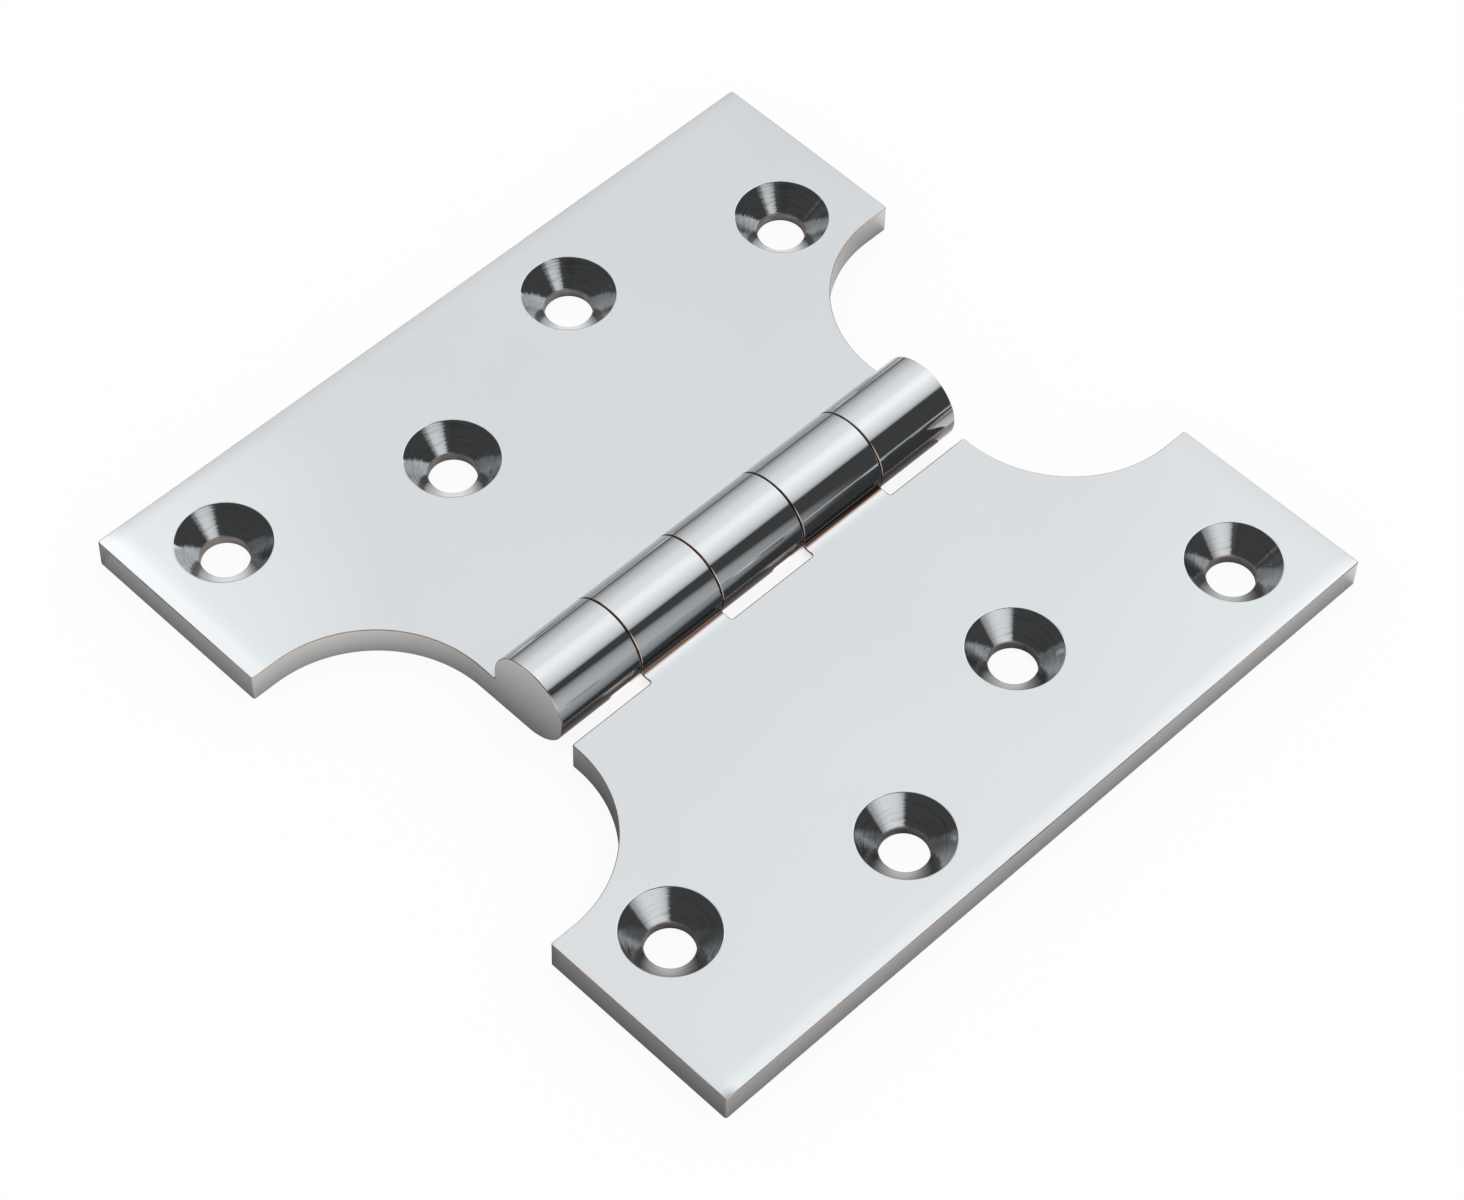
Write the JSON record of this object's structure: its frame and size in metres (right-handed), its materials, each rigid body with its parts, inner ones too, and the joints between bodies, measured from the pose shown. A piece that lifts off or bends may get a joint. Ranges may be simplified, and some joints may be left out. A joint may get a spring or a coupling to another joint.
{
  "type": "parliament hinge",
  "caption": "Projecting door hinge with H-shaped leaves, cut away at the barrel's ends, a hidden fixed pin and staggered countersunk screw holes.",
  "frame": {"origin": "on the pin's axis, half way along the barrel; with the hinge opened flat this is the centre of its bounding box", "axes": "+Y along the pin, +X across the two-knuckle door leaf, +Z away from the leaves' back faces, out of the countersunk faces"},
  "size_m": [0.102, 0.102, 0.011],
  "materials": {
    "frame_leaf": "polished chrome plate on brass",
    "door_leaf": "polished chrome plate on brass",
    "hinge_pin": "ground steel",
    "top_end_plug": "polished chrome plate on brass",
    "bottom_end_plug": "polished chrome plate on brass"
  },
  "bodies": {
    "frame_side": {"frame_leaf": "frame_leaf", "hinge_pin": "hinge_pin", "top_end_plug": "top_end_plug", "bottom_end_plug": "bottom_end_plug"},
    "door_side": {"door_leaf": "door_leaf"}
  },
  "joints": [
    {"name": "leaf_swing", "type": "hinge", "parent": "frame_side", "child": "door_side", "pos_m": [0, 0, 0], "axis": [0, -1, 0], "range_deg": [-100, 180]}
  ]
}
